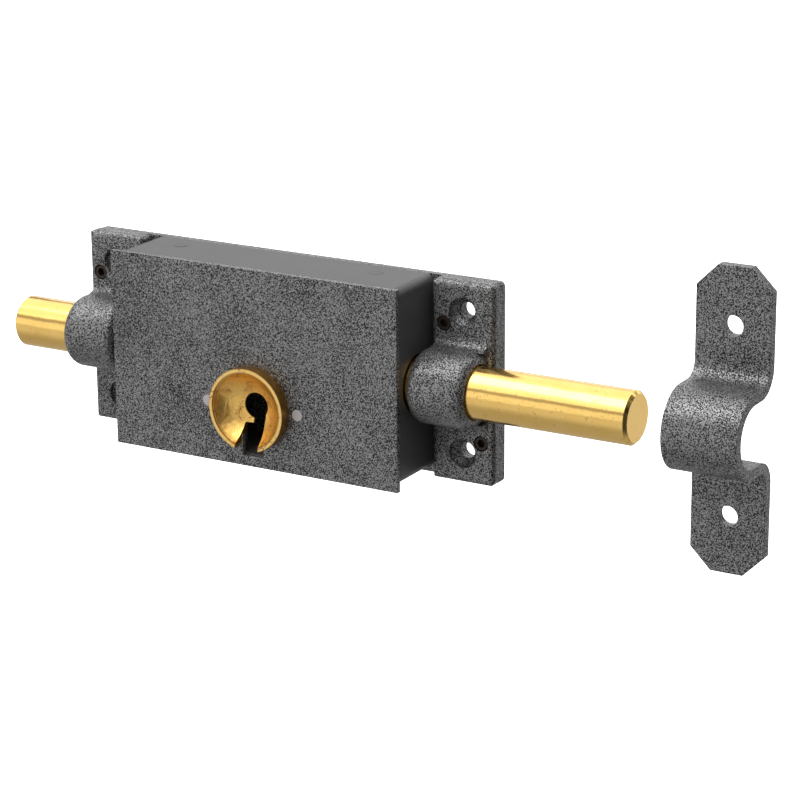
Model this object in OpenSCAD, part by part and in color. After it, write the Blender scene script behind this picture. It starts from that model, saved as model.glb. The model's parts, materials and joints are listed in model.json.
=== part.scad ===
// Surface-mounted lever deadbolt: a double-ended round bolt in two bearing brackets, worked by a key
// through a lever case, with a separate strap keep. The bolt is shown thrown.
// X runs along the bolt towards the keep, Y into the door and Z up. The origin is on the door's face,
// behind the key's axis and at the height of the bolt's axis.

/* [Back plate] */
// Thickness of the back plate
plate_t = 3; // [2:0.1:4]
// Rounding of its four corners
plate_r = 2; // [1:0.5:4]

/* [Case] */
// Length of the case shell along the bolt
case_l = 123; // [119:1:150]
// Height of the case shell
case_h = 74.5; // [73:0.5:92]
// Spare depth in the case, between the key guide and the front lever or the bolt
case_room = 0.8; // [0.5:0.1:8]
// Thickness of the shell's sheet
wall_t = 2; // [1.5:0.1:2.5]
// Outer bend radius of the shell's four long edges
case_r = 3; // [2.5:0.5:6]
// Distance between the two columns of case rivets
rivet_span = 87; // [80:1:98]
// Distance of the cover rivets from the case's top and bottom
rivet_in = 3.5; // [3:0.1:5]
// Diameter of the case rivets' shanks
rivet_d = 4; // [3:0.1:5]
// Diameter of the case rivets' closed heads
rivet_head_d = 5.6; // [5:0.1:7]
// Width of the sheet tabs and lugs that the case rivets hold
lug_w = 12; // [8:1:16]
// Reach of the plate's lugs into the case
lug_reach = 14; // [11:0.5:15]

/* [Front plate] */
// Thickness of the front plate
cover_t = 2; // [1.5:0.1:3]
// How far the front plate passes the case on the side away from the keep
cover_side = 3; // [0:0.5:6]
// How far the front plate and the back plate pass the case at the bottom
cover_drop = 2.5; // [0:0.5:5]

/* [Brackets] */
// Width of one bearing bracket along the bolt
bracket_w = 26; // [24:0.5:30]
// Thickness of its ears
ear_t = 6; // [5:0.5:9]
// Wall of the bearing round the bolt
hub_wall = 4.2; // [3:0.1:6]
// Rounding of the bearing's ends
hub_round = 4; // [2:0.5:4]
// How far the bearing stops short of the ears on the keep's side
hub_short = 2.6; // [0:0.1:4]
// Rounding of the ears' edges
ear_round = 2.3; // [1:0.1:3]
// Concave fillet between bearing and ears
hub_fillet = 4; // [2:0.5:5]
// Gap between the near bracket and the case
right_gap = 2; // [0.5:0.5:4]
// Gap between the far bracket and the front plate
left_gap = 0.5; // [0.5:0.5:4]
// How far the far bracket passes the plate's end
left_over = 1; // [0:0.5:3]
// Distance between a bracket's two fixing holes
fix_pitch = 54; // [50:1:60]
// Diameter of the fixing holes
fix_d = 6; // [4:0.1:6.5]
// Diameter of their countersinks
fix_csk_d = 11.2; // [9:0.1:12]
// Depth at which the countersinks' cones start
fix_sink = 1.8; // [0:0.1:2.5]
// Diameter of the set screws that hold a bracket to the plate
set_d = 6; // [4:0.1:6]
// Sideways distance of the set screws from the bracket's middle
set_x = 7.8; // [7:0.1:9]
// Height of the set screws above and below the bolt's axis
set_z = 22; // [21:0.1:24]
// Key size of the set screws' hexagon sockets
set_hex = 3; // [2:0.5:3]

/* [Bolt] */
// Diameter of the bolt
bolt_d = 20; // [18:0.5:22]
// How far the thrown bolt stands out past the bracket near the keep
bolt_out = 61.5; // [50:0.5:75]
// How far it still stands out past the other bracket
bolt_back = 26; // [20:0.5:50]
// Distance of the bolt's axis from the back plate
bolt_set = 12.9; // [12.5:0.1:14]
// Chamfer of the bolt's ends
bolt_chamfer = 1.2; // [0.5:0.1:2]
// Travel of the bolt for one turn of the key
turn_throw = 20; // [18:0.5:20]
// Number of key turns from open to locked
turns = 2; // [1:1:2]

/* [Talon plate] */
// Thickness of the talon plate
talon_t = 3; // [2:0.1:3]
// Width of the notches that the key pushes
notch_w = 7; // [5:0.5:8]
// Diameter of the stump that passes the levers' gates
stump_d = 5; // [4:0.1:5]
// Height of the stump above the bolt's surface
stump_rise = 10.5; // [10:0.1:11]
// Place of the stump past the key's axis when the bolt is thrown
stump_x = 20; // [19:0.5:21]
// Diameter of the stud that keeps the plate upright
guide_d = 5; // [4:0.5:5]
// Height of the guide stud above the bolt's surface
guide_rise = 4; // [3.5:0.1:4.5]

/* [Levers] */
// Thickness of one lever
lever_t = 1.5; // [1.2:0.1:1.5]
// Distance between neighbouring levers
lever_gap = 0.3; // [0.3:0.05:0.5]
// Place of the pivot past the key's axis
pivot_x = 52; // [51:0.5:53]
// Height of the pivot above the bolt's surface
pivot_rise = 14; // [13:0.5:15]
// Diameter of the pivot post
pivot_d = 7; // [6:0.5:8]
// How far the levers drop from the gate's height, in degrees
lever_drop = 3; // [2:0.5:3]
// Height of the levers' top edge above the bolt's surface
lever_high = 21; // [20.5:0.1:21.4]
// Height of the levers' straight lower edge above the bolt's surface
lever_rise = 5.3; // [5:0.1:5.8]

/* [Key way] */
// Depth of the key's axis below the bolt's surface
key_under = 5; // [4:0.5:6]
// Diameter of the key hole
key_d = 10.2; // [7:0.1:10.5]
// Width of the slot for the key's bit
bit_w = 9.2; // [7:0.1:10]
// Length of the bit's slot from the key's axis
bit_reach = 19.4; // [17.5:0.1:19.5]
// Width of the bit's slot in the dish, at its upper end
flare_w = 8.4; // [7:0.1:9]
// Width of the same slot at the dish's rim
rim_slot_w = 10.8; // [9:0.1:12]
// Width of the throat between the key hole and that slot
throat_w = 5.2; // [4.2:0.1:6]
// Outer diameter of the escutcheon dish
dish_d = 32.6; // [28:0.2:36]
// How far the dish stands out from the front plate
dish_out = 4.9; // [3:0.1:6]
// Width of the dish's flat rim
rim_w = 1.4; // [1:0.1:2]
// Depth of the dish's hollow behind the front plate's face
dish_floor = 2.9; // [1.5:0.1:3]
// Diameter of the dish's neck through the front plate
neck_d = 24; // [22:0.5:26]
// Gap between the dish's rim and the rivets beside it
guide_gap = 1.5; // [0.5:0.1:4]
// Diameter of those rivets
guide_rivet_d = 4.4; // [3:0.1:5]

/* [Keep] */
// Width of the keep's strap
keep_w = 28.5; // [24:0.5:34]
// Thickness of the keep's strap
keep_t = 4; // [3:0.1:5]
// Overall height of the keep
keep_h = 113; // [100:1:130]
// Distance of the keep's near edge from the thrown bolt's end
keep_gap = 16; // [8:1:30]
// Room for the bolt between the keep's legs
keep_room = 23; // [22.5:0.5:28]
// Distance of the keep's crown from the door's face
keep_out = 31.5; // [31:0.1:45]
// Inner bend radius between legs and ears
keep_bend = 6; // [3:0.5:6.5]
// Distance between the keep's two holes
keep_pitch = 70; // [66:1:80]
// Diameter of the keep's holes
keep_hole_d = 7.6; // [5:0.1:8]
// Length of the keep's cut corners
keep_corner = 8; // [4:0.5:10]

/* [Clearances] */
// Radial clearance of running fits
run_gap = 0.06; // [0.03:0.01:0.1]
// Clearance of pieces that slide past each other
slide_gap = 0.3; // [0.2:0.05:0.4]
// Clearance round the bolt in the case's side walls
side_gap = 1; // [0.5:0.1:2]

/* [Hidden] */
$fn = 72;

// A little more than nothing, for cutters that pass through a face
eps = 0.5;
// Outline of the case shell, with the front plate centred on the key's axis
plate_h = case_h + cover_drop;
case_x1 = (case_l + cover_side) / 2;
case_x0 = case_x1 - case_l;
case_z1 = plate_h / 2;
case_z0 = case_z1 - case_h;
in_x0 = case_x0 + wall_t;
in_x1 = case_x1 - wall_t;
in_z0 = case_z0 + wall_t;
in_z1 = case_z1 - wall_t;
// Depths, counted from the door's face towards the front
plate_y = -plate_t;
axis_y = plate_y - bolt_set;
bolt_r = bolt_d / 2;
talon_y = axis_y - talon_t;
lever_n = 4;
lever_pitch = lever_t + lever_gap;
lever_y0 = talon_y - 0.9;
lever_end_y = lever_y0 - lever_n * lever_pitch + lever_gap;
key_guide_t = 1.5;
neck_end_y = min(lever_end_y, axis_y - bolt_r) - case_room;
cover_in_y = neck_end_y - key_guide_t;
tab_gap = 0.1;
// Front of the lever stop and the spring bar, clear of the shell's rivet tabs
stop_y = max(lever_end_y - 0.2, cover_in_y + wall_t + tab_gap);
cover_y = cover_in_y - cover_t;
case_d = plate_y - cover_in_y;
// Case rivets
tab_h = 2 * rivet_in - wall_t;
wall_rivet_y = plate_y - lug_reach + 5;
rivet_xs = [-rivet_span / 2, rivet_span / 2];
rivet_zs = [case_z0 + rivet_in, case_z1 - rivet_in];
// Brackets
hub_r = bolt_r + hub_wall;
right_x = case_x1 + right_gap + bracket_w / 2;
left_x = case_x0 - cover_side - left_gap - bracket_w / 2;
plate_x0 = left_x - bracket_w / 2 + left_over;
plate_x1 = right_x + bracket_w / 2;
ear_y = plate_y - ear_t;
ear_h = plate_h;
// Bolt, its flat and the talon plate on the flat
travel = turn_throw * turns;
bolt_x1 = right_x + bracket_w / 2 + bolt_out;
bolt_x0 = left_x - bracket_w / 2 - bolt_back;
bolt_l = bolt_x1 - bolt_x0;
key_drop = bolt_r + key_under;
key_z = -key_drop;
bit_r = bit_reach - 2.4;
flat_x0 = -bit_r - 1;
flat_x1 = bit_r + 2 + travel;
stump_z = bolt_r + stump_rise;
guide_z = bolt_r + guide_rise;
talon_x0 = flat_x0 + 2;
talon_x1 = (turns - 0.5) * turn_throw + 16;
talon_top = stump_z + 6.5;
notch_top = bit_r - key_drop + 0.6;
talon_screw_xs = [talon_x0 + 9, stump_x, talon_x1 - 7];
talon_screw_d = 4;
guide_x = talon_x0 + 5;
// Levers
pivot_z = bolt_r + pivot_rise;
lever_top = bolt_r + lever_high;
lever_low = bolt_r + lever_rise;
gate_h = stump_d / 2 + slide_gap + 0.1;
pocket_room = 0.7;
lever_x0 = stump_x - travel - stump_d / 2 - 4;
lever_nose = 3;
nose_h = 4.1;
eye_r = pivot_d / 2 + 2.7;
belly_r = 14.5;
// Height that the key's steps lift each lever to, above the key's axis
key_steps = [15.6, 16.6, 15.2, 16.1];
collar_r = pivot_d / 2 + 1;
// Escutcheon
neck_r = neck_d / 2;
dish_r = dish_d / 2;
guide_span = dish_d + 2 * guide_gap + guide_rivet_d;
bowl_r = dish_r - rim_w;
bowl_lip = 0.5;
bowl_in_r = bowl_r - bowl_lip;
bowl_h = dish_out + dish_floor - bowl_lip;
// Centre and radius of the ball that hollows the bowl, through its lip and the key hole's edge
bowl_c = (pow(bowl_in_r, 2) - pow(key_d / 2, 2) + pow(bowl_h, 2)) / (2 * bowl_h);
bowl_ball_r = sqrt(pow(key_d / 2, 2) + pow(bowl_c, 2));
// Keep
keep_x0 = bolt_x1 + keep_gap;
keep_x1 = keep_x0 + keep_w;
keep_leg = keep_room / 2;
keep_arch_y = -keep_out + keep_leg + keep_t;

// A rod of radius r along X from x0 to x1
module rod_x(r, x0, x1) {
    translate([x0, 0, 0])
        rotate([0, 90, 0])
            cylinder(r = r, h = x1 - x0);
}

// A rod of radius r along Y from y0 to y1
module rod_y(r, y0, y1) {
    translate([0, y0, 0])
        rotate([-90, 0, 0])
            cylinder(r = r, h = y1 - y0);
}

// A cone along Y from radius r0 at y0 to radius r1 at y1
module cone_y(r0, r1, y0, y1) {
    translate([0, y0, 0])
        rotate([-90, 0, 0])
            cylinder(r1 = r0, r2 = r1, h = y1 - y0);
}

// Extrudes an outline drawn in X and Y, Z: across the depth, along the bolt or upwards
module across(y0, y1) {
    translate([0, y1, 0])
        rotate([90, 0, 0])
            linear_extrude(y1 - y0) children();
}

module along(x0, x1) {
    translate([x0, 0, 0])
        rotate([90, 0, 90])
            linear_extrude(x1 - x0) children();
}

module upwards(z0, z1) {
    translate([0, 0, z0])
        linear_extrude(z1 - z0) children();
}

// A rectangle from (x0, y0) to (x1, y1)
module rect(x0, y0, x1, y1) {
    translate([x0, y0]) square([x1 - x0, y1 - y0]);
}

// The same with four round corners
module round_rect(x0, y0, x1, y1, r) {
    rect(x0 + r, y0, x1 - r, y1);
    rect(x0, y0 + r, x1, y1 - r);
    for (x = [x0 + r, x1 - r], y = [y0 + r, y1 - r])
        translate([x, y]) circle(r);
}

// The same with only the two corners at y0 round
module front_round_rect(x0, y0, x1, y1, r) {
    rect(x0 + r, y0, x1 - r, y1);
    rect(x0, y0 + r, x1, y1);
    for (x = [x0 + r, x1 - r])
        translate([x, y0 + r]) circle(r);
}

module box(x0, y0, z0, x1, y1, z1) {
    translate([x0, y0, z0]) cube([x1 - x0, y1 - y0, z1 - z0]);
}

// Repeats its children at a bracket's two set screws
module at_set_screws() {
    for (s = [-1, 1])
        translate([s * set_x, 0, -s * set_z]) children();
}

// Repeats its children at a bracket's two fixing holes
module at_fixings() {
    for (s = [-1, 1])
        translate([0, 0, s * fix_pitch / 2]) children();
}

module at_brackets() {
    for (x = [left_x, right_x])
        translate([x, 0, 0]) children();
}

// ---- Back plate with the lugs that hold the case
module back_plate() {
    color("dimgray")
    difference() {
        union() {
            across(plate_y, 0)
                round_rect(plate_x0, -plate_h / 2, plate_x1, plate_h / 2, plate_r);
            for (x = rivet_xs) {
                box(x - lug_w / 2, plate_y - lug_reach, in_z1 - 2.5, x + lug_w / 2, plate_y, in_z1);
                box(x - lug_w / 2, plate_y - lug_reach, in_z0, x + lug_w / 2, plate_y, in_z0 + 2.5);
            }
        }
        at_brackets() {
            at_fixings() rod_y(fix_d / 2, plate_y - eps, eps);
            at_set_screws() rod_y(set_d / 2, plate_y - eps, eps);
        }
        for (x = rivet_xs)
            translate([x, wall_rivet_y, in_z0 - eps])
                cylinder(d = rivet_d, h = in_z1 - in_z0 + 2 * eps);
        translate([0, 0, key_z]) rod_y(4.5, plate_y - eps, eps);
        translate([pivot_x, 0, pivot_z]) rod_y(pivot_d / 2, plate_y - eps, eps);
        translate([guide_x, 0, guide_z]) rod_y(guide_d / 2 - 0.5, plate_y - eps, eps);
    }
}

// ---- Bent sheet shell: four walls, side holes for the bolt and four tabs behind the front plate
module case_shell() {
    color("gray")
    difference() {
        union() {
            difference() {
                across(cover_in_y, plate_y)
                    round_rect(case_x0, case_z0, case_x1, case_z1, case_r);
                across(cover_in_y - eps, plate_y + eps)
                    round_rect(in_x0, in_z0, in_x1, in_z1, case_r - wall_t);
            }
            for (x = rivet_xs) {
                box(x - lug_w / 2, cover_in_y, in_z1 - tab_h, x + lug_w / 2, cover_in_y + wall_t, in_z1);
                box(x - lug_w / 2, cover_in_y, in_z0, x + lug_w / 2, cover_in_y + wall_t, in_z0 + tab_h);
            }
        }
        translate([0, axis_y, 0]) rod_x(bolt_r + side_gap, case_x0 - eps, case_x1 + eps);
        for (x = rivet_xs) {
            for (z = rivet_zs)
                translate([x, 0, z]) rod_y(rivet_d / 2, cover_in_y - eps, cover_in_y + wall_t + eps);
            translate([x, wall_rivet_y, case_z0 - eps]) cylinder(d = rivet_d, h = case_h + 2 * eps);
        }
    }
}

// ---- Front plate with the key way
module front_plate() {
    color("dimgray")
    difference() {
        box(case_x0 - cover_side, cover_y, case_z0 - cover_drop, case_x1, cover_in_y, case_z1);
        translate([0, 0, key_z]) {
            rod_y(neck_r, cover_y - eps, cover_in_y + eps);
            across(cover_y - eps, cover_in_y + eps) rect(-bit_w / 2, -bit_reach, bit_w / 2, 0);
            for (s = [-1, 1])
                translate([s * guide_span / 2, 0, 0])
                    rod_y(guide_rivet_d / 2, cover_y - eps, cover_in_y + eps);
        }
        for (x = rivet_xs, z = rivet_zs)
            translate([x, 0, z]) rod_y(rivet_d / 2, cover_y - eps, cover_in_y + eps);
    }
}

// Four rivets that close the front plate on the shell's tabs
module cover_rivets() {
    color("dimgray")
    for (x = rivet_xs, z = rivet_zs)
        translate([x, 0, z]) {
            rod_y(rivet_d / 2, cover_y, cover_in_y + wall_t);
            rod_y(rivet_head_d / 2, cover_y - 0.3, cover_y);
        }
}

// Four rivets through the shell's top and bottom walls into the plate's lugs
module wall_rivets() {
    color("darkgray")
    for (x = rivet_xs)
        translate([x, wall_rivet_y, 0]) {
            translate([0, 0, in_z1 - 2.5]) cylinder(d = rivet_d, h = wall_t + 2.5);
            translate([0, 0, case_z1]) cylinder(d = rivet_head_d, h = 0.2);
            translate([0, 0, case_z0]) cylinder(d = rivet_d, h = wall_t + 2.5);
            translate([0, 0, case_z0 - 0.2]) cylinder(d = rivet_head_d, h = 0.2);
        }
}

// ---- Brass dish that leads the key in
module key_escutcheon() {
    color("goldenrod")
    translate([0, 0, key_z])
    difference() {
        union() {
            rod_y(dish_r, cover_y - dish_out, cover_y);
            rod_y(neck_r, cover_y, neck_end_y);
        }
        translate([0, cover_y + dish_floor - bowl_c, 0]) sphere(bowl_ball_r);
        rod_y(bowl_r, cover_y - dish_out - eps, cover_y - dish_out + bowl_lip);
        rod_y(key_d / 2, cover_y - dish_out, neck_end_y + eps);
        across(cover_y - dish_out - eps, neck_end_y + eps) {
            rect(flare_w / 2 - throat_w, -key_d, flare_w / 2, 0);
            polygon([[-flare_w / 2, -key_d / 2 - 1.6], [flare_w / 2, -key_d / 2 - 1.6],
                [rim_slot_w / 2, -dish_r - eps], [-rim_slot_w / 2, -dish_r - eps]]);
        }
    }
}

// Steel plate behind the front plate that the dish's neck is closed into
module key_guide() {
    half_w = guide_span / 2 + 5;
    half_h = neck_r + 3;
    color("slategray")
    translate([0, 0, key_z])
    difference() {
        across(cover_in_y, neck_end_y) round_rect(-half_w, -half_h, half_w, half_h, 3);
        rod_y(neck_r, cover_in_y - eps, neck_end_y + eps);
        across(cover_in_y - eps, neck_end_y + eps) rect(-bit_w / 2, -bit_reach, bit_w / 2, 0);
        for (s = [-1, 1])
            translate([s * guide_span / 2, 0, 0])
                rod_y(guide_rivet_d / 2, cover_in_y - eps, neck_end_y + eps);
    }
}

module guide_rivets() {
    color("silver")
    for (s = [-1, 1])
        translate([s * guide_span / 2, 0, key_z]) {
            rod_y(guide_rivet_d / 2, cover_y - 0.2, neck_end_y);
            rod_y(guide_rivet_d / 2 + 1, neck_end_y, neck_end_y + 0.9);
        }
}

// Bush in the back plate that steadies the key's tip
module key_bush() {
    color("darkkhaki")
    translate([0, 0, key_z])
    difference() {
        union() {
            rod_y(4.5, plate_y, 0);
            rod_y(6, plate_y - 2, plate_y);
        }
        rod_y(2.6, plate_y - 2 - eps, -1);
    }
}

// ---- Bearing bracket about its own middle
module bracket() {
    half = bracket_w / 2;
    hub_l = bracket_w - hub_short;
    color("dimgray")
    difference() {
        union() {
            intersection() {
                across(ear_y, plate_y) round_rect(-half, -ear_h / 2, half, ear_h / 2, ear_round);
                upwards(-ear_h / 2, ear_h / 2) front_round_rect(-half, ear_y, half, plate_y, ear_round);
                along(-half, half)
                    rotate(-90) front_round_rect(-ear_h / 2, ear_y, ear_h / 2, plate_y, ear_round);
            }
            translate([-half, axis_y, 0])
                rotate([0, 90, 0])
                    rotate_extrude() {
                        rect(0, 0, hub_r - hub_round, hub_l);
                        rect(0, hub_round, hub_r, hub_l - hub_round);
                        for (h = [hub_round, hub_l - hub_round])
                            intersection() {
                                translate([hub_r - hub_round, h]) circle(hub_round);
                                rect(0, 0, hub_r, hub_l);
                            }
                    }
            across(axis_y, plate_y) round_rect(-half, -hub_r, half - hub_short, hub_r, hub_round);
            for (s = [-1, 1])
                along(-half + ear_round, half - ear_round)
                    difference() {
                        rect(ear_y - hub_fillet, min(s * (hub_r + hub_fillet), s * (hub_r - eps)), ear_y + eps,
                            max(s * (hub_r + hub_fillet), s * (hub_r - eps)));
                        translate([ear_y - hub_fillet, s * (hub_r + hub_fillet)]) circle(hub_fillet);
                    }
        }
        box(-half - eps, plate_y, -hub_r - eps, half + eps, eps, hub_r + eps);
        translate([0, axis_y, 0]) {
            rod_x(bolt_r + run_gap, -half - eps, half + eps);
            for (s = [-1, 1])
                translate([-hub_short / 2, 0, 0])
                    rotate([0, s * 90, 0])
                        translate([0, 0, hub_l / 2 - 0.6]) cylinder(r1 = bolt_r, r2 = bolt_r + 1.2, h = 1.2);
        }
        at_fixings() {
            rod_y(fix_d / 2, ear_y - eps, plate_y + eps);
            rod_y(fix_csk_d / 2, ear_y - eps, ear_y + fix_sink);
            cone_y(fix_csk_d / 2, fix_d / 2, ear_y + fix_sink, ear_y + fix_sink + (fix_csk_d - fix_d) / 2);
        }
        at_set_screws() rod_y(set_d / 2, ear_y - eps, plate_y + eps);
    }
}

module set_screws() {
    color("black")
    at_set_screws()
    difference() {
        union() {
            cone_y(set_d / 2 - 0.5, set_d / 2, ear_y + 0.3, ear_y + 0.8);
            rod_y(set_d / 2, ear_y + 0.8, -0.5);
        }
        translate([0, ear_y + 0.3 - eps, 0])
            rotate([-90, 0, 0])
                cylinder(d = set_hex / cos(30), h = 2.5 + eps, $fn = 6);
    }
}

module left_bracket() translate([left_x, 0, 0]) bracket();
module right_bracket() translate([right_x, 0, 0]) bracket();
module left_set_screws() translate([left_x, 0, 0]) set_screws();
module right_set_screws() translate([right_x, 0, 0]) set_screws();

// ---- Round bolt with the flat milled for the talon plate and the key's sweep
module bolt() {
    color("gold")
    difference() {
        translate([0, axis_y, 0])
        intersection() {
            rod_x(bolt_r, bolt_x0, bolt_x1);
            translate([bolt_x0, 0, 0])
                rotate([0, 90, 0])
                    cylinder(r1 = bolt_r - bolt_chamfer, r2 = bolt_r - bolt_chamfer + bolt_l, h = bolt_l);
            translate([bolt_x1, 0, 0])
                rotate([0, -90, 0])
                    cylinder(r1 = bolt_r - bolt_chamfer, r2 = bolt_r - bolt_chamfer + bolt_l, h = bolt_l);
        }
        box(flat_x0, axis_y - bolt_r - eps, -bolt_r - eps, flat_x1, axis_y, bolt_r + eps);
        for (x = talon_screw_xs)
            translate([x, 0, 0]) rod_y(talon_screw_d / 2, axis_y - eps, axis_y + 6);
    }
}

// Plate screwed on the flat: notches for the key below, guide slot and stump above
module talon_plate() {
    notch_xs = [for (k = [0 : turns - 1]) turn_throw / 2 + k * turn_throw];
    color("slategray")
    difference() {
        across(talon_y, axis_y)
        difference() {
            union() {
                rect(talon_x0, -bolt_r + 1.5, talon_x1, bolt_r - 0.5);
                rect(talon_x0, 0, guide_x + travel + 8, talon_top);
            }
            for (x = notch_xs)
                polygon([[x - notch_w / 2 - 0.8, -bolt_r], [x + notch_w / 2 + 0.8, -bolt_r],
                    [x + notch_w / 2, notch_top], [x - notch_w / 2, notch_top]]);
            rect(guide_x, guide_z - guide_d / 2 - slide_gap, guide_x + travel,
                guide_z + guide_d / 2 + slide_gap);
            for (x = [guide_x, guide_x + travel])
                translate([x, guide_z]) circle(guide_d / 2 + slide_gap);
        }
        translate([stump_x, 0, stump_z]) rod_y(stump_d / 2, talon_y - eps, axis_y + eps);
        for (x = talon_screw_xs)
            translate([x, 0, 0]) {
                rod_y(talon_screw_d / 2, talon_y - eps, axis_y + eps);
                cone_y(talon_screw_d / 2 + 2 + eps, talon_screw_d / 2, talon_y - eps, talon_y + 2);
            }
    }
}

module talon_screws() {
    color("silver")
    for (x = talon_screw_xs)
        translate([x, 0, 0])
        difference() {
            union() {
                rod_y(talon_screw_d / 2, talon_y + 0.5, axis_y + 6);
                cone_y(talon_screw_d / 2 + 1.9, talon_screw_d / 2, talon_y + 0.1, talon_y + 2);
            }
            box(-3, talon_y - eps, -0.5, 3, talon_y + 0.9, 0.5);
        }
}

module bolt_stump() {
    color("silver")
    translate([stump_x, 0, stump_z]) rod_y(stump_d / 2, lever_end_y - 0.4, axis_y);
}

// Shouldered stud on the back plate, in the talon plate's slot
module guide_stud() {
    color("silver")
    translate([guide_x, 0, guide_z]) {
        rod_y(guide_d / 2 - 0.5, plate_y, 0);
        rod_y(guide_d / 2, talon_y - 0.3, plate_y);
    }
}

// ---- Levers, at the height where the key has lined up their gates
module lever(i) {
    y1 = lever_y0 - i * lever_pitch;
    belly_z = key_z + key_steps[i] + belly_r;
    color("khaki")
    across(y1 - lever_t, y1)
    difference() {
        union() {
            rect(lever_x0, lever_low, pivot_x, lever_top);
            rect(lever_x0 - lever_nose, lever_top - nose_h, lever_x0 + 1, lever_top);
            intersection() {
                translate([0, belly_z]) circle(belly_r);
                rect(-belly_r, key_z, belly_r, lever_top);
            }
            translate([pivot_x, pivot_z]) circle(eye_r);
        }
        translate([pivot_x, pivot_z]) circle(pivot_d / 2 + run_gap);
        // everything outside the eye's round end
        difference() {
            rect(pivot_x, pivot_z - 2 * eye_r, pivot_x + 2 * eye_r, pivot_z + 2 * eye_r);
            translate([pivot_x, pivot_z]) circle(eye_r);
        }
        rect(stump_x - travel - gate_h, stump_z - gate_h, stump_x + gate_h, stump_z + gate_h);
        for (k = [0 : turns]) {
            x = stump_x - k * turn_throw;
            rect(x - gate_h, stump_z, x + gate_h, stump_z + gate_h + pocket_room + (pivot_x - x) * sin(lever_drop));
        }
    }
}

module lever_1() lever(0);
module lever_2() lever(1);
module lever_3() lever(2);
module lever_4() lever(3);

// Post with a collar behind the levers, closed into the back plate
module lever_pivot() {
    color("silver")
    translate([pivot_x, 0, pivot_z]) {
        rod_y(pivot_d / 2, lever_end_y - 1.4, 0);
        rod_y(collar_r, lever_y0 + 0.1, plate_y);
    }
}

// Thin rings that keep the levers apart on the post
module lever_spacers() {
    gap = lever_gap / 5;
    color("silver")
    for (i = [1 : lever_n - 1])
        translate([pivot_x, 0, pivot_z])
        difference() {
            rod_y(collar_r, lever_y0 - i * lever_pitch + gap, lever_y0 - i * lever_pitch + lever_gap - gap);
            rod_y(pivot_d / 2, lever_end_y, lever_y0);
        }
}

module lever_retainer() {
    color("silver")
    translate([pivot_x, 0, pivot_z])
    difference() {
        rod_y(collar_r + 1, lever_end_y - 0.9, lever_end_y - 0.1);
        rod_y(pivot_d / 2, lever_end_y - 2, lever_end_y);
    }
}

// Hook welded under the case's top wall; the levers' noses rest on its ledge when they drop
module lever_stop() {
    reach = pivot_x - lever_x0 + lever_nose / 2;
    ledge_z = lever_top - nose_h - reach * sin(lever_drop) - 0.2;
    x1 = lever_x0 - lever_nose - 0.8;
    color("silver")
    across(stop_y, lever_y0)
        union() {
            rect(x1 - 2.5, ledge_z - 2, x1, in_z1);
            rect(x1 - 2.5, ledge_z - 2, lever_x0 - 0.6, ledge_z);
        }
}

// Bar under the top wall that holds the four leaf springs
module spring_bar() {
    color("gray")
    box(22, stop_y, lever_top + 0.6, 28, lever_y0, in_z1);
}

module lever_springs() {
    thick = 0.3;
    low = lever_top + 0.15;
    high = lever_top + 2.2;
    color("lightsteelblue")
    for (i = [0 : lever_n - 1])
        across(lever_y0 - i * lever_pitch - lever_t + 0.1, lever_y0 - i * lever_pitch - 0.1)
            polygon([[22, high], [-8, low], [-12, low + 0.5], [-12, low + 0.5 + thick],
                [-8, low + thick], [22, high + thick]]);
}

// ---- Strap keep for the door frame, set in line with the bolt
module keep() {
    bend_out = keep_bend + keep_t;
    half_h = keep_h / 2;
    color("dimgray")
    difference() {
        intersection() {
            along(keep_x0, keep_x1)
            difference() {
                union() {
                    translate([keep_arch_y, 0]) circle(keep_leg + keep_t);
                    rect(keep_arch_y, -keep_leg - keep_t, 0, keep_leg + keep_t);
                    rect(-keep_t, -half_h, 0, half_h);
                    for (s = [-1, 1])
                        difference() {
                            translate([-bend_out, s * (keep_leg + bend_out / 2)])
                                translate([0, -bend_out / 2]) square(bend_out);
                            translate([-bend_out, s * (keep_leg + bend_out)]) circle(keep_bend);
                        }
                }
                translate([keep_arch_y, 0]) circle(keep_leg);
                rect(keep_arch_y, -keep_leg, eps, keep_leg);
                for (s = [-1, 1])
                    difference() {
                        translate([-bend_out, s * (keep_leg + bend_out / 2)])
                            translate([0, -bend_out / 2]) square([bend_out + eps, bend_out]);
                        translate([-bend_out, s * (keep_leg + bend_out)]) circle(bend_out);
                    }
            }
            across(-keep_out - eps, eps)
                polygon([for (s = [-1, 1], p = [[0, half_h - keep_corner], [keep_corner, half_h],
                    [keep_w - keep_corner, half_h], [keep_w, half_h - keep_corner]])
                    [keep_x0 + (s < 0 ? p[0] : keep_w - p[0]), -s * p[1]]]);
        }
        for (s = [-1, 1])
            translate([keep_x0 + keep_w / 2, 0, s * keep_pitch / 2])
                rod_y(keep_hole_d / 2, -keep_t - eps, eps);
    }
}

back_plate();
case_shell();
front_plate();
cover_rivets();
wall_rivets();
key_escutcheon();
key_guide();
guide_rivets();
key_bush();
left_bracket();
right_bracket();
left_set_screws();
right_set_screws();
bolt();
talon_plate();
talon_screws();
bolt_stump();
guide_stud();
lever_1();
lever_2();
lever_3();
lever_4();
lever_pivot();
lever_spacers();
lever_retainer();
lever_stop();
spring_bar();
lever_springs();
keep();
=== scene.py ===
# %% [markdown]
# # A surface deadbolt, dressed for its picture
# The object is a lock that is screwed on the face of a door. A round brass-plated bolt runs in two
# cast brackets, a painted case between them holds the levers, and a strap keep waits on the frame.
# An engineering model already gives every piece its true size and place, and says what moves with what.
# This lesson adds what an engineering model leaves out: broken edges, closed rivet heads, hammered
# enamel, bright brass, aged brass, light and a camera. Nothing is resized and nothing is moved.

# %% Load the fixed frame and keep its box
import json
import math

import bmesh
import bpy
from mathutils import Matrix, Vector


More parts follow.
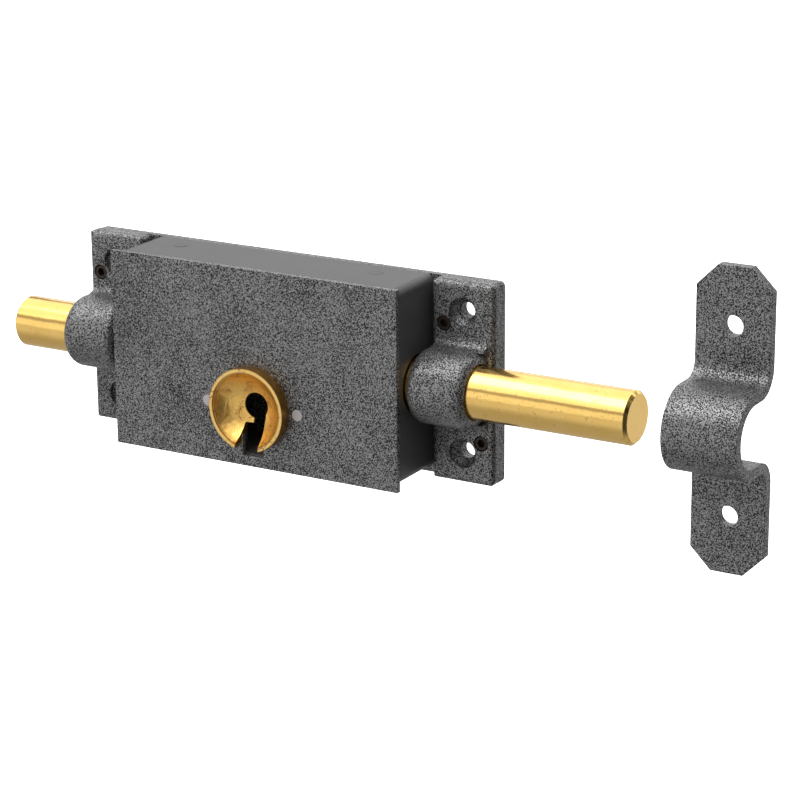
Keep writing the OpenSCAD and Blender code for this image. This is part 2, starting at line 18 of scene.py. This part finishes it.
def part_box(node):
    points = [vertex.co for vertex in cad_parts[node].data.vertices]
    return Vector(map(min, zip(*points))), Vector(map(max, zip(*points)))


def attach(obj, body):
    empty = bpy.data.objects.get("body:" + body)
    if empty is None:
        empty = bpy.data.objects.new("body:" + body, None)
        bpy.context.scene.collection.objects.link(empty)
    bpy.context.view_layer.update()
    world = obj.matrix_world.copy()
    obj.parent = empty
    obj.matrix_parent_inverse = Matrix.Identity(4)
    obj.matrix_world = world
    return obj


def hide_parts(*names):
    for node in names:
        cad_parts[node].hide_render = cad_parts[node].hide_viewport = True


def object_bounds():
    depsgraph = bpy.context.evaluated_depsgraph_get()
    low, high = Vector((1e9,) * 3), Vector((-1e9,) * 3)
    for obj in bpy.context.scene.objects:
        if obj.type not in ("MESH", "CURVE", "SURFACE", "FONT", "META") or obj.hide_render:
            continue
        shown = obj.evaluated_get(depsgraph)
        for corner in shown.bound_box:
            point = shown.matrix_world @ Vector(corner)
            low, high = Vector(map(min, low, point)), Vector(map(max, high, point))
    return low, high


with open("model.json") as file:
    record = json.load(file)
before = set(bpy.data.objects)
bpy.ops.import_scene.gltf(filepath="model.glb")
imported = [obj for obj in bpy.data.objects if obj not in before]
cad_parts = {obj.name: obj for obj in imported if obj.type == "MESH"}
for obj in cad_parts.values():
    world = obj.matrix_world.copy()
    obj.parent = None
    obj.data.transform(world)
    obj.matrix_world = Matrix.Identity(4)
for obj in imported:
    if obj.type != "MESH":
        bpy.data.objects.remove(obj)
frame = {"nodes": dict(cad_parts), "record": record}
CAD_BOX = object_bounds()
MM = 0.001
BODY_OF = {node: body for body, nodes in frame["record"]["behaviour"]["bodies"].items() for node in nodes}
SLOT_OF = {part["node"]: part["material_slot"] for part in frame["record"]["subparts"]}


# %% [markdown]
# ## The camera
# Small hardware is shown from far off with a long lens, so its plates stay almost parallel. The camera
# stands 30 degrees round to the keep's side and 17 degrees above the bolt, a little over a metre away.
# It is set at a given point and turned by two angles, then tilted a hair, which is easier to reason about
# than nine numbers of a matrix.

# %% Set the camera
def look_along(azimuth, elevation, roll):
    """Turn of a camera that looks along a compass direction, downwards by an elevation, in degrees."""
    az, el, ro = map(math.radians, (azimuth, elevation, roll))
    ahead = Vector((-math.sin(az) * math.cos(el), math.cos(az) * math.cos(el), -math.sin(el)))
    level = Vector((math.cos(az), math.sin(az), 0))
    above = level.cross(ahead)
    right = math.cos(ro) * level + math.sin(ro) * above
    up = math.cos(ro) * above - math.sin(ro) * level
    return Matrix((right, up, -ahead)).transposed().to_4x4()


CAMERA_PLACE = (0.55504, -0.86903, 0.29922)
AZIMUTH, ELEVATION, ROLL = 30.349, 17.249, -0.422
LENS = 125.93
SENSOR = 36

camera = bpy.data.objects.new("camera", bpy.data.cameras.new("camera"))
bpy.context.scene.collection.objects.link(camera)
camera.data.sensor_width = SENSOR
camera.data.lens = LENS
camera.matrix_world = Matrix.Translation(CAMERA_PLACE) @ look_along(AZIMUTH, ELEVATION, ROLL)
bpy.context.scene.camera = camera
print("camera at", [round(v, 3) for v in camera.location], "with a", round(camera.data.lens), "mm lens")


# %% [markdown]
# ## Shader arithmetic in plain Python
# A paint or a metal is a recipe of patterns, and a recipe reads best as a formula. `Wire` stands for one
# output of a node and overloads the arithmetic signs, so `1 - mask` adds a Math node by itself.
# `Recipe` is a tree under construction, with one method that adds any node: its type, its settings and
# what goes into its sockets. `Finish` is the recipe of a material, with the patterns that most of them
# need. Colours pass through Mix nodes only, because a Math node greys them.

# %% Three small classes for finishes
class Wire:
    """One output of a node, on which Python's arithmetic builds more nodes."""

    def __init__(self, recipe, socket):
        self.recipe = recipe
        self.socket = socket

    def math(self, operation, *values):
        return self.recipe.node("ShaderNodeMath", {"operation": operation}, dict(enumerate(values)))

    def __add__(self, other):
        return self.math("ADD", self, other)

    def __sub__(self, other):
        return self.math("SUBTRACT", self, other)

    def __rsub__(self, other):
        return self.math("SUBTRACT", other, self)

    def __mul__(self, other):
        return self.math("MULTIPLY", self, other)

    __radd__ = __add__
    __rmul__ = __mul__

    def step(self, low, high):
        """0 below low, 1 above high, and a smooth ramp between."""
        ends = {"Value": self, "From Min": low, "From Max": high}
        return self.recipe.node("ShaderNodeMapRange", {"interpolation_type": "SMOOTHSTEP"}, ends, "Result")


class Recipe:
    """A tree of shader nodes that is built node by node."""

    def __init__(self, tree):
        self.tree = tree

    def node(self, kind, settings=None, values=None, out=0):
        """Adds a node, sets it up, fills its sockets and gives one of its outputs."""
        made = self.tree.nodes.new(kind)
        for name, value in (settings or {}).items():
            setattr(made, name, value)
        for key, value in (values or {}).items():
            if isinstance(value, Wire):
                self.tree.links.new(value.socket, made.inputs[key])
            else:
                made.inputs[key].default_value = value
        return Wire(self, made.outputs[out])


class Finish(Recipe):
    """A material, with the patterns that finishes are made of."""

    def __init__(self, name):
        self.material = bpy.data.materials.new(name)
        self.material.use_nodes = True
        super().__init__(self.material.node_tree)
        self.tree.nodes.clear()
        self.place = self.node("ShaderNodeTexCoord", out="Object")

    def stretched(self, x, y, z):
        """Object coordinates multiplied along each axis, which squeezes a pattern along it."""
        return self.node("ShaderNodeMapping", {}, {"Vector": self.place, "Scale": (x, y, z)})

    def turned(self, x, y, z):
        """Object coordinates turned off the axes, so that no flat face lies in a plane of a noise's grid."""
        return self.node("ShaderNodeMapping", {}, {"Vector": self.place, "Rotation": (x, y, z)})

    def noise(self, place, scale, detail=2.0, rough=0.5, warp=0.0):
        values = {"Vector": place, "Scale": scale, "Detail": detail, "Roughness": rough, "Distortion": warp}
        return self.node("ShaderNodeTexNoise", {}, values, "Fac")

    def cells(self, place, scale, feature="F1"):
        values = {"Vector": place, "Scale": scale}
        return self.node("ShaderNodeTexVoronoi", {"feature": feature}, values, "Distance")

    def mix(self, share, first, second):
        """A colour between two colours."""
        pick = [tuple(c) + (1.0,) if isinstance(c, tuple) else c for c in (first, second)]
        return self.node("ShaderNodeMix", {"data_type": "RGBA"}, {0: share, 6: pick[0], 7: pick[1]}, 2)

    def bump(self, height, depth, under=None):
        """Relief of a height from 0 to 1, whose depth is in metres."""
        values = {"Height": height, "Distance": depth, "Strength": 1.0}
        if under:
            values["Normal"] = under
        return self.node("ShaderNodeBump", {}, values, "Normal")

    def rounded(self, radius):
        """Normal that rounds crisp edges by a radius in metres."""
        return self.node("ShaderNodeBevel", {"samples": 6}, {"Radius": radius}, "Normal")

    def around(self, centre, squash):
        """Distance from a point, in metres, with each axis first multiplied by squash."""
        gap = self.node("ShaderNodeVectorMath", {"operation": "SUBTRACT"}, {0: self.place, 1: centre})
        flat = self.node("ShaderNodeVectorMath", {"operation": "MULTIPLY"}, {0: gap, 1: squash})
        return self.node("ShaderNodeVectorMath", {"operation": "LENGTH"}, {0: flat}, "Value")

    def surface(self, **sockets):
        values = {key.replace("_", " "): value for key, value in sockets.items()}
        shader = self.node("ShaderNodeBsdfPrincipled", {}, values, "BSDF")
        end = self.tree.nodes.new("ShaderNodeOutputMaterial")
        self.tree.links.new(shader.socket, end.inputs["Surface"])
        print("finish", self.material.name, "has", len(self.tree.nodes), "nodes")
        return self.material


# %% [markdown]
# ## Hammered enamel
# The plates, brackets and keep wear a dark two-tone enamel that draws up into flecks of half a
# millimetre as it dries: aluminium grains on a near-black ground. A noise of that grain size, pushed
# to high contrast, gives the flecks; the same noise lifts the bright grains a few hundredths of a
# millimetre. The noise is turned off the axes, because its grain looks finer and duller in a flat
# face that lies in a plane of its grid. A far wider noise makes some areas a little lighter, so no
# plate looks printed. The Bevel node rounds every crisp edge by a few tenths in the shading, as thick
# paint does. The closed rivets in the front plate are painted too, with wider and paler flecks.

# %% Hammered enamel for plates, brackets and keep
OFF_AXES = (0.5, 0.7, 0.3)


def hammered_enamel(name, grain, dark, light, edge):
    """Enamel with flecks of a grain's size, in two tones, on edges rounded by a radius."""
    f = Finish(name)
    flecks = f.noise(f.turned(*OFF_AXES), 1 / grain, detail=1.0, rough=0.5, warp=0.4)
    area = f.noise(f.place, 1 / (20 * MM), detail=2)
    mask = (flecks + 0.12 * (area - 0.5)).step(0.46, 0.56)
    colour = f.mix(mask, dark, light)
    relief = f.bump(flecks, 0.07 * MM, f.rounded(edge))
    return f.surface(Base_Color=colour, Metallic=0.55 * mask, Roughness=0.34 + 0.14 * (1 - mask),
                     Normal=relief, Specular_IOR_Level=0.30)


HAMMERED = hammered_enamel("hammered_enamel", 0.46 * MM, (0.006, 0.006, 0.006), (0.30, 0.30, 0.30), 0.45 * MM)
RIVET_ENAMEL = hammered_enamel("rivet_enamel", 0.8 * MM, (0.05, 0.05, 0.05), (0.22, 0.22, 0.22), 0.15 * MM)


# %% [markdown]
# ## Smooth enamel
# The case itself is sprayed with plain grey enamel. It has the faint orange peel of any sprayed coat, a
# speckle of half a millimetre, and slightly thinner paint here and there.

# %% Smooth enamel for the case
def smooth_enamel():
    f = Finish("smooth_enamel")
    speckle = f.noise(f.place, 1 / (0.5 * MM), detail=1)
    cloud = f.noise(f.place, 1 / (14 * MM), detail=3)
    tone = 0.6 * speckle.step(0.35, 0.65) + 0.4 * cloud
    peel = f.noise(f.place, 1 / (1.6 * MM), detail=1)
    colour = f.mix(tone, (0.040, 0.040, 0.041), (0.095, 0.095, 0.097))
    relief = f.bump(0.6 * peel + 0.4 * speckle, 0.05 * MM, f.rounded(0.5 * MM))
    return f.surface(Base_Color=colour, Metallic=0.1, Roughness=0.40 + 0.12 * cloud, Normal=relief)


ENAMEL = smooth_enamel()


# %% [markdown]
# ## Brass plating on a bar
# The bolt is drawn steel bar, turned to size and plated with bright brass. The turning shows as faint
# lines round the bar, so one fine noise is squeezed eightfold along X. The bar isn't perfectly straight
# or round either: a slow wave in the normal makes the long highlight waver. Handling leaves small dull
# spots.

# %% Bright brass for the bolt
def drawn_brass():
    f = Finish("drawn_brass")
    lines = f.noise(f.stretched(8, 1, 1), 1 / (0.625 * MM), detail=2)
    along = f.noise(f.place, 1 / (9 * MM), detail=2)
    spots = f.noise(f.place, 1 / (1.2 * MM), detail=3, rough=0.6)
    dull = spots.step(0.60, 0.72)
    warm = f.mix(0.75 * along, (0.95, 0.65, 0.22), (0.87, 0.53, 0.13))
    colour = f.mix(0.6 * dull, warm, (0.50, 0.27, 0.06))
    wave = f.bump(along, 0.16 * MM, f.rounded(0.3 * MM))
    grain = f.bump(0.5 * lines + 0.5 * spots, 0.012 * MM, wave)
    return f.surface(Base_Color=colour, Metallic=1.0, Roughness=0.13 + 0.14 * dull + 0.06 * lines,
                     Normal=grain)


BOLT_BRASS = drawn_brass()


# %% [markdown]
# ## Aged cast brass
# The key dish is solid brass that has been handled for years. Its lacquer has crazed and browned in
# patches, so the colour moves between gold and brown, a few thin cracks cross it and the metal under it
# has a fine cast grain. The rim's face is made a lighter gold, a band just inside it dark brown and the
# outer wall a darker brown. Those three are rings, told apart by the distance from the key's axis.

# %% Aged brass for the key dish
KEY_AXIS = (0, 0, -15 * MM)
DISH_LOW, DISH_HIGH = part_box("key_escutcheon")
DISH_R = (DISH_HIGH[0] - DISH_LOW[0]) / 2


def aged_brass():
    f = Finish("aged_brass")
    off_axis = f.around(KEY_AXIS, (1, 0, 1))

    def past(start, end):
        """A ramp outwards, between two distances in from the dish's edge, in millimetres."""
        return off_axis.step(DISH_R - start * MM, DISH_R - end * MM)

    patches = f.noise(f.place, 1 / (5.5 * MM), detail=4, rough=0.62, warp=0.8)
    grain = f.noise(f.place, 1 / (0.5 * MM), detail=2)
    warped = f.noise(f.place, 1 / (2.5 * MM), detail=3)
    shift = f.node("ShaderNodeVectorMath", {"operation": "ADD"},
                   {0: f.place, 1: f.node("ShaderNodeCombineXYZ", {}, {"X": warped * (2.5 * MM)})})
    cracks = 1 - f.cells(shift, 1 / (5 * MM), "DISTANCE_TO_EDGE").step(0.0, 0.04)
    cracks = cracks * patches.step(0.50, 0.60)
    # Three rings by distance from the axis: a dark brown band just inside the rim, a lighter gold rim face
    # and a darker brown outer wall.
    groove = past(2.6, 1.5) * (1 - past(1.45, 1.2))
    wall = past(0.25, 0.1)
    lighter_rim = past(1.4, 1.1) * (1 - wall)
    brown = patches.step(0.48, 0.72)
    gold = f.mix(grain, (0.88, 0.52, 0.13), (0.97, 0.64, 0.20))
    stained = f.mix(0.70 * brown, gold, (0.55, 0.26, 0.055))
    ringed = f.mix(0.6 * groove, stained, (0.22, 0.09, 0.02))
    bright = f.mix(0.6 * lighter_rim, ringed, (1.0, 0.70, 0.27))
    sided = f.mix(0.7 * wall, bright, (0.36, 0.17, 0.04))
    colour = f.mix(0.85 * cracks, sided, (0.12, 0.05, 0.015))
    height = 0.35 * grain + 0.65 * (1 - cracks)
    relief = f.bump(height, 0.06 * MM, f.bump(patches, 0.45 * MM, f.rounded(0.3 * MM)))
    return f.surface(Base_Color=colour, Metallic=1.0, Roughness=0.30 + 0.18 * brown + 0.08 * grain,
                     Normal=relief)


DISH_BRASS = aged_brass()


# %% [markdown]
# ## The small steels
# Screws, rivets, levers and springs are small, and most are shut inside the case, but each has the
# finish that its piece would have on the bench. One recipe serves them all: a base colour, a tint that
# comes and goes, and fine grinding or rolling lines in one direction.

# %% Plain metals
def metal(name, colour, tint, rough, lines=(1, 1, 1), grain=0.4 * MM, depth=0.01 * MM, shine=1.0):
    f = Finish(name)
    cloud = f.noise(f.place, 1 / (3 * MM), detail=3, rough=0.6)
    marks = f.noise(f.stretched(*lines), 1 / grain, detail=2)
    blend = f.mix(0.65 * cloud + 0.35 * marks, colour, tint)
    return f.surface(Base_Color=blend, Metallic=shine, Roughness=rough + 0.15 * marks - 0.05 * cloud,
                     Normal=f.bump(marks, depth))


FINISHES = {
    "hammer_paint": HAMMERED,
    "case_paint": ENAMEL,
    "bolt_brass": BOLT_BRASS,
    "dish_brass": DISH_BRASS,
    "black_steel": metal("black_oxide", (0.020, 0.017, 0.015), (0.055, 0.034, 0.024), 0.36, shine=0.6),
    "rivet_steel": metal("ground_steel", (0.56, 0.53, 0.53), (0.38, 0.35, 0.35), 0.45, (1, 1, 6), shine=0.4),
    "plain_steel": metal("zinc_plate", (0.62, 0.63, 0.66), (0.48, 0.50, 0.52), 0.26, (6, 1, 1)),
    "lever_brass": metal("stamped_brass", (0.80, 0.60, 0.26), (0.66, 0.46, 0.17), 0.30, (1, 1, 10)),
    "spring_steel": metal("blued_spring", (0.16, 0.20, 0.34), (0.28, 0.24, 0.30), 0.24, (1, 8, 1)),
}
for node, thing in frame["nodes"].items():
    for slot in thing.material_slots:
        slot.material = FINISHES[SLOT_OF[node]]
print("dressed", len(frame["nodes"]), "nodes in", len(FINISHES), "finishes")


# %% [markdown]
# ## Rivets by rule
# Four rivets close the front plate, and a pair in the top wall and a pair in the bottom wall hold the
# case. A rivet is a short round bar whose head was hammered flat, which leaves a low dome inside a
# raised ring. One node tree makes any row of them: a grid gives the places, a cylinder gives the bar,
# and its end is lifted by a formula in the distance from its axis. The inputs are the grid's spans, the
# bar's radius and length and the heights of ring and dome, so the same tree serves both sets. The two
# bright ends beside the dish were ground flush, so they stay as the engineering model has them.

# %% One tree for every set of rivets
RING_AT = 0.78       # the ring's crest, as a share of the radius
RING_STEEP = 6       # how fast the ring falls off on both sides of its crest
RIM_DROP = 0.6       # how far the very edge is pulled down again, as a share of the ring's height
END_FROM = 0.49      # above this share of the length a vertex belongs to the end that was hammered
TILT, SPIN = 0.02, 3.1


def rivet_tree(material):
    tree = bpy.data.node_groups.new("rivets", "GeometryNodeTree")
    tree.interface.new_socket("Geometry", in_out="OUTPUT", socket_type="NodeSocketGeometry")
    for name in ("Span", "Rise", "Radius", "Length", "Ring", "Dome", "Seed"):
        kind = "NodeSocketInt" if name == "Seed" else "NodeSocketFloat"
        tree.interface.new_socket(name, in_out="INPUT", socket_type=kind)
    start = tree.nodes.new("NodeGroupInput").outputs

    def add(kind, links=None, **settings):
        node = tree.nodes.new(kind)
        for name, value in settings.items():
            setattr(node, name, value)
        for key, value in (links or {}).items():
            if isinstance(value, bpy.types.NodeSocket):
                tree.links.new(value, node.inputs[key])
            else:
                node.inputs[key].default_value = value
        return node

    def calc(operation, *values):
        return add("ShaderNodeMath", dict(enumerate(values)), operation=operation).outputs[0]

    rows = calc("ADD", calc("GREATER_THAN", start["Rise"], 1e-5), 1)
    grid = add("GeometryNodeMeshGrid", {"Size X": start["Span"], "Size Y": start["Rise"], "Vertices X": 2,
                                        "Vertices Y": rows})
    bar = add("GeometryNodeMeshCylinder", {"Vertices": 64, "Side Segments": 4, "Fill Segments": 14,
                                           "Radius": start["Radius"], "Depth": start["Length"]})
    place = add("ShaderNodeSeparateXYZ", {0: add("GeometryNodeInputPosition").outputs[0]}).outputs
    across = calc("SQRT", calc("ADD", calc("MULTIPLY", place["X"], place["X"]),
                               calc("MULTIPLY", place["Y"], place["Y"])))
    share = calc("DIVIDE", across, start["Radius"])
    bowl = calc("MULTIPLY", start["Dome"], calc("SUBTRACT", 1, calc("MULTIPLY", share, share)))
    away = calc("MULTIPLY", calc("SUBTRACT", share, RING_AT), RING_STEEP)
    crest = calc("DIVIDE", start["Ring"], calc("ADD", 1, calc("POWER", away, 4)))
    fall = calc("MULTIPLY", calc("POWER", share, 16), calc("MULTIPLY", start["Ring"], -RIM_DROP))
    top = calc("GREATER_THAN", place["Z"], calc("MULTIPLY", start["Length"], END_FROM))
    lift = calc("MULTIPLY", calc("ADD", calc("ADD", bowl, crest), fall), top)
    offset = add("ShaderNodeCombineXYZ", {"Z": lift}).outputs[0]
    head = add("GeometryNodeSetPosition", {"Geometry": bar.outputs["Mesh"], "Offset": offset})
    turn = add("FunctionNodeRandomValue", {"Seed": start["Seed"], "Min": (-TILT, -TILT, -SPIN),
                                           "Max": (TILT, TILT, SPIN)}, data_type="FLOAT_VECTOR")
    rivets = add("GeometryNodeInstanceOnPoints", {"Points": grid.outputs["Mesh"],
                                                  "Instance": head.outputs["Geometry"],
                                                  "Rotation": turn.outputs[0]})
    real = add("GeometryNodeRealizeInstances", {"Geometry": rivets.outputs["Instances"]})
    done = add("GeometryNodeSetMaterial", {"Geometry": real.outputs["Geometry"], "Material": material})
    last = add("NodeGroupOutput")
    tree.links.new(done.outputs["Geometry"], last.inputs["Geometry"])
    print("the rivet tree has", len(tree.nodes), "nodes")
    return tree


# %% [markdown]
# ## From the tree to a piece
# A modifier on an empty mesh runs the tree, and the result is copied out as a plain mesh, which is moved
# to its place in its own vertices. The batches of one set are then joined into one piece, which rides
# on the same body as the bars that it replaces.

# %% Run the tree and join the batches
SHARP_FROM = math.radians(50)


def bake_rivets(tree, turn, values):
    """Evaluates the tree once and gives a plain mesh, with its place in its vertices."""
    holder = bpy.data.objects.new("holder", bpy.data.meshes.new("holder"))
    bpy.context.scene.collection.objects.link(holder)
    maker = holder.modifiers.new("rivets", "NODES")
    maker.node_group = tree
    for item in tree.interface.items_tree:
        if item.in_out == "INPUT":
            maker[item.identifier] = values[item.name]
    ready = holder.evaluated_get(bpy.context.evaluated_depsgraph_get())
    mesh = bpy.data.meshes.new_from_object(ready)
    mesh.transform(turn)
    bpy.data.objects.remove(holder)
    return mesh


def rivet_set(name, node, batches, material):
    """Joins batches of rivets into one piece that stands for a node of the engineering model."""
    tree = rivet_tree(material)
    joined = bmesh.new()
    for turn, values in batches:
        joined.from_mesh(bake_rivets(tree, turn, values))
    bmesh.ops.recalc_face_normals(joined, faces=joined.faces)
    mesh = bpy.data.meshes.new(name)
    joined.to_mesh(mesh)
    joined.free()
    mesh.materials.append(material)
    mesh.set_sharp_from_angle(angle=SHARP_FROM)
    piece = bpy.data.objects.new(name, mesh)
    bpy.context.scene.collection.objects.link(piece)
    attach(piece, BODY_OF[node])
    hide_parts(node)
    print(name, "has", len(mesh.polygons), "faces on body", BODY_OF[node])


# %% [markdown]
# ## Where the heads go
# The ends stop a little short of the box of the bars that they replace, by the room that the ring needs
# above them, so the object grows nowhere. The front set is one grid of four, turned to face forwards.
# The wall set is a row in the top wall and the same row upside down in the bottom wall.

# %% Place both sets
HEAD_R = 2.8 * MM
FORWARD = Matrix.Rotation(math.radians(90), 4, "X")
UPSIDE_DOWN = Matrix.Rotation(math.pi, 4, "X")
FRONT_RING, FRONT_DOME, FRONT_ROOM = 0.24 * MM, 0.10 * MM, 0.25 * MM
WALL_RING, WALL_DOME, WALL_ROOM = 0.10 * MM, 0.04 * MM, 0.16 * MM
WALL_BAR = 4.5 * MM

low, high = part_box("cover_rivets")
middle = (Vector(low) + Vector(high)) / 2
length = high[1] - low[1] - FRONT_ROOM
rivet_set("front_rivet_heads", "cover_rivets", [
    (Matrix.Translation((middle.x, high[1] - length / 2, middle.z)) @ FORWARD,
     {"Span": high[0] - low[0] - 2 * HEAD_R, "Rise": high[2] - low[2] - 2 * HEAD_R, "Radius": HEAD_R,
      "Length": length, "Ring": FRONT_RING, "Dome": FRONT_DOME, "Seed": 3})], RIVET_ENAMEL)

low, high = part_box("wall_rivets")
middle = (Vector(low) + Vector(high)) / 2
wall_sets = []
for side, edge, turn in ((1, high[2] - WALL_ROOM, Matrix.Identity(4)), (-1, low[2] + WALL_ROOM, UPSIDE_DOWN)):
    wall_sets.append((Matrix.Translation((middle.x, middle.y, edge - side * WALL_BAR / 2)) @ turn,
                      {"Span": high[0] - low[0] - 2 * HEAD_R, "Rise": 0.0, "Radius": HEAD_R,
                       "Length": WALL_BAR, "Ring": WALL_RING, "Dome": WALL_DOME, "Seed": 8 + side}))
rivet_set("wall_rivet_heads", "wall_rivets", wall_sets, ENAMEL)


# %% [markdown]
# ## Lamps
# The object hangs over a pale sweep in an even white studio. Three wide soft lamps only help the
# surround that the last step builds: one overhead for the top of the case and the bolt, one at the
# front left for the plates and one behind, so the views from the back aren't dark. No lamp stands on the
# keep's side, so the right wall of the case stays dark.

# %% Set the lamps
def soft_box(name, place, aim, size, watts):
    lamp = bpy.data.lights.new(name, "AREA")
    lamp.shape = "RECTANGLE"
    lamp.size, lamp.size_y = size
    lamp.energy = watts
    thing = bpy.data.objects.new(name, lamp)
    bpy.context.scene.collection.objects.link(thing)
    thing.location = place
    thing.rotation_euler = (Vector(aim) - Vector(place)).to_track_quat("-Z", "Y").to_euler()
    print("lamp", name, "with", watts, "W")


MIDDLE = (0.03, -0.02, 0)
soft_box("top_box", (-0.25, -0.30, 0.80), MIDDLE, (0.8, 0.40), 2.5)
soft_box("front_panel", (-0.60, -0.90, 0.30), MIDDLE, (0.8, 0.8), 0.8)
soft_box("back_panel", (-0.15, 0.95, 0.40), MIDDLE, (1.3, 0.45), 1.5)


# %% [markdown]
# ## The floor
# A plain sheet well below the object. It glows white to the camera but is hidden from diffuse and glossy
# rays, so its glow doesn't brighten the underside of the lock or show in the brass.

# %% Lay the floor
FLOOR_DROP = 0.12
FLOOR_SIZE = 12

bpy.ops.mesh.primitive_plane_add(size=FLOOR_SIZE, location=(0, 0, CAD_BOX[0].z - FLOOR_DROP))
floor = bpy.context.object
floor.name = "floor"
pale = Finish("pale_floor")
shade = pale.noise(pale.place, 3, detail=2)
floor.data.materials.append(pale.surface(Base_Color=pale.mix(shade, (0.93, 0.93, 0.93), (0.96, 0.96, 0.96)),
                                         Roughness=0.9, Emission_Color=(1, 1, 1, 1), Emission_Strength=1.0))
floor.visible_diffuse = False
floor.visible_glossy = False
print("the floor lies", FLOOR_DROP, "m under the object")


# %% [markdown]
# ## The surround
# Polished metal shows little but what stands round it, so the surround is where the bolt's bands come
# from. It is banded by height: a bright ceiling, a dark gap under it that draws a thin line along the
# bolt, a grey room and a dimmer ground. It fades out towards the keep's side. The camera itself sees
# plain white. Heights and directions are parts of a unit vector, from -1 to 1.

# %% Build the surround
CEILING, WALLS, BELOW, LEAST = 1.45, 0.30, 0.38, 0.08
FADE = 0.92

world = bpy.data.worlds.new("surround")
bpy.context.scene.world = world
world.use_nodes = True
room = Recipe(world.node_tree)
direction = room.node("ShaderNodeTexCoord", out="Generated")
axes = room.node("ShaderNodeSeparateXYZ", {}, {0: direction}).socket.node.outputs
east = Wire(room, axes["X"])
up = Wire(room, axes["Z"])
ceiling = up.step(0.48, 0.54) * CEILING
under_gap = 1 - up.step(0.28, 0.34)
walls = under_gap * up.step(-0.75, -0.35) * WALLS
level = (ceiling + walls + BELOW * under_gap + LEAST) * (1 - FADE * east.step(0.52, 0.80))
camera_ray = room.node("ShaderNodeLightPath", out="Is Camera Ray")
shown = level * (1 - camera_ray) + camera_ray
tone = room.node("ShaderNodeCombineXYZ", {}, {"X": shown, "Y": shown, "Z": shown})
room.tree.links.new(tone.socket, room.tree.nodes["Background"].inputs["Color"])
bpy.context.scene.view_settings.view_transform = "Standard"
print("the surround has", len(room.tree.nodes), "nodes")
